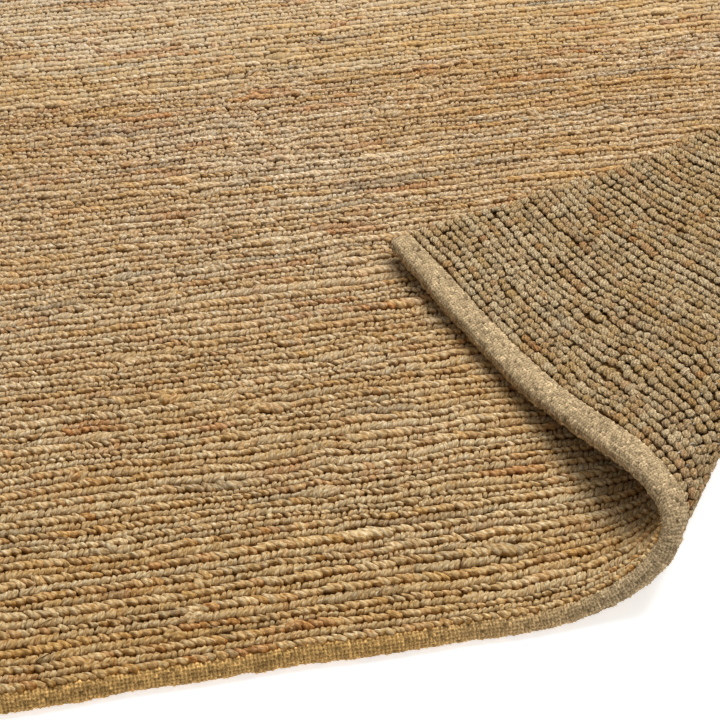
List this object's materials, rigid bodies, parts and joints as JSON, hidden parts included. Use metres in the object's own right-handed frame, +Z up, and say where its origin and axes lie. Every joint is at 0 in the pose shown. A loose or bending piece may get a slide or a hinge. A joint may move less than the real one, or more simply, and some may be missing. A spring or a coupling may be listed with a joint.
{
  "type": "soumak rug",
  "caption": "Chunky hand-woven soumak rug in jute, lying flat with one corner turned over to show its knotted back.",
  "frame": {"origin": "on the floor, under the middle of the rug's outline", "axes": "+Z up; +X along the rows of stitches to the rug's right; +Y across the rows, away from the edge whose right corner is turned over"},
  "size_m": [0.6998, 0.9994, 0.0512],
  "materials": {
    "jute": "dry, matt hand-spun jute yarn, golden on the face and browner on the back"
  },
  "bodies": {
    "root": {"rug": "jute"}
  },
  "joints": []
}
